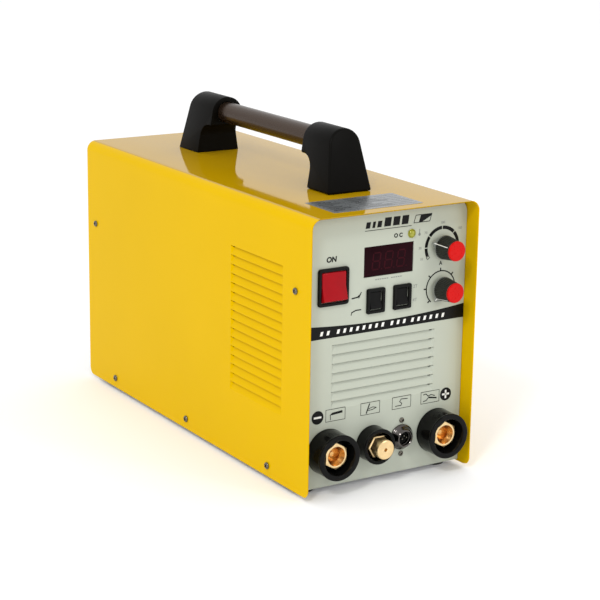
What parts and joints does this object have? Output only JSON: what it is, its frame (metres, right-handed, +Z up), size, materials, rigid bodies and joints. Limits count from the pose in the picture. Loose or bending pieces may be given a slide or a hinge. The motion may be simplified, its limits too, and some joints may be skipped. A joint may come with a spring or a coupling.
{
  "type": "tig welding machine",
  "caption": "Portable inverter TIG welding machine with a folded steel case, carrying handle, dial and switch panel, weld sockets and a gas outlet.",
  "frame": {"origin": "on the floor, in the middle of the box around the machine, under the feet", "axes": "+Z up, -Y towards the front panel, +X to the right of someone facing the front panel"},
  "size_m": [0.21, 0.519, 0.3608],
  "materials": {
    "cover_yellow": "glossy powder-coated yellow sheet steel",
    "panel_grey": "satin light grey paint on sheet steel",
    "zinc": "zinc-plated steel",
    "handle_black": "satin black moulded plastic",
    "tube_bronze": "semi-gloss bronze-brown tube",
    "foot_rubber": "matt black rubber",
    "screw_chrome": "bright plated steel",
    "switch_black": "satin black plastic",
    "rocker_red": "glossy red plastic",
    "smoked_window": "smoked dark red acrylic",
    "led_lens": "yellow-green lens",
    "knob_black": "satin black fluted knob",
    "cap_red": "glossy red cap",
    "socket_black": "glossy black moulded plastic",
    "brass": "machined brass",
    "dark_metal": "dark nickel-plated ring",
    "board_green": "green circuit board",
    "aluminium": "extruded aluminium",
    "ferrite": "dark ferrite core and taped winding",
    "copper": "enamelled copper winding",
    "capacitor_sleeve": "blue heat-shrink sleeve",
    "hose_black": "black gas hose"
  },
  "bodies": {
    "root": {"case_cover": "cover_yellow", "base_pan": "zinc", "front_panel": "panel_grey", "rear_panel": "panel_grey", "handle_post_front": "handle_black", "handle_post_rear": "handle_black", "handle_tube": "tube_bronze", "foot_front_left": "foot_rubber", "foot_front_right": "foot_rubber", "foot_rear_left": "foot_rubber", "foot_rear_right": "foot_rubber", "cover_screw_left_1": "screw_chrome", "cover_screw_left_2": "screw_chrome", "cover_screw_left_3": "screw_chrome", "cover_screw_right_1": "screw_chrome", "cover_screw_right_2": "screw_chrome", "cover_screw_right_3": "screw_chrome", "power_switch_frame": "switch_black", "mode_switch_frame": "switch_black", "trigger_switch_frame": "switch_black", "display_window": "smoked_window", "display_module": "board_green", "status_led": "led_lens", "current_pot": "zinc", "slope_pot": "zinc", "negative_socket_shell": "socket_black", "negative_socket_contact": "brass", "positive_socket_shell": "socket_black", "positive_socket_contact": "brass", "gas_outlet_collar": "socket_black", "gas_outlet_nozzle": "brass", "torch_socket_ring": "dark_metal", "torch_socket_core": "switch_black", "control_board": "board_green", "power_board": "board_green", "heat_sink_left": "aluminium", "heat_sink_right": "aluminium", "main_transformer": "ferrite", "output_reactor": "copper", "bus_capacitor_left": "capacitor_sleeve", "bus_capacitor_right": "capacitor_sleeve", "arc_starter": "switch_black", "gas_valve_body": "brass", "gas_hose": "hose_black", "fan_frame": "switch_black", "fan_guard": "screw_chrome", "cable_gland": "switch_black", "gas_inlet": "brass", "earth_stud": "brass"},
    "power_rocker": {"power_rocker": "rocker_red"},
    "mode_rocker": {"mode_rocker": "switch_black"},
    "trigger_rocker": {"trigger_rocker": "switch_black"},
    "current_knob": {"current_knob": "knob_black", "current_knob_cap": "cap_red", "current_shaft": "zinc"},
    "slope_knob": {"slope_knob": "knob_black", "slope_knob_cap": "cap_red", "slope_shaft": "zinc"},
    "fan_rotor": {"fan_rotor": "switch_black"},
    "gas_valve_plunger": {"gas_valve_plunger": "zinc"}
  },
  "joints": [
    {"name": "power_rocker_tilt", "type": "hinge", "parent": "root", "child": "power_rocker", "pos_m": [-0.0646, -0.2305, 0.2189], "axis": [1, 0, 0], "range_deg": [0, 18]},
    {"name": "mode_rocker_tilt", "type": "hinge", "parent": "root", "child": "mode_rocker", "pos_m": [-0.0126, -0.2305, 0.1979], "axis": [1, 0, 0], "range_deg": [0, 18]},
    {"name": "trigger_rocker_tilt", "type": "hinge", "parent": "root", "child": "trigger_rocker", "pos_m": [0.0203, -0.2305, 0.1981], "axis": [1, 0, 0], "range_deg": [0, 18]},
    {"name": "current_knob_turn", "type": "hinge", "parent": "root", "child": "current_knob", "pos_m": [0.0698, -0.232, 0.2452], "axis": [0, 1, 0], "range_deg": [-75, 205]},
    {"name": "slope_knob_turn", "type": "hinge", "parent": "root", "child": "slope_knob", "pos_m": [0.0698, -0.232, 0.201], "axis": [0, 1, 0], "range_deg": [0, 280]},
    {"name": "fan_spin", "type": "hinge", "parent": "root", "child": "fan_rotor", "pos_m": [0, 0.2112, 0.175], "axis": [0, 1, 0], "continuous": true},
    {"name": "gas_valve_lift", "type": "slide", "parent": "root", "child": "gas_valve_plunger", "axis": [0, 0, 1], "range_m": [0, 0.002], "stiffness_N_per_m": 300, "springref_m": -0.002}
  ]
}
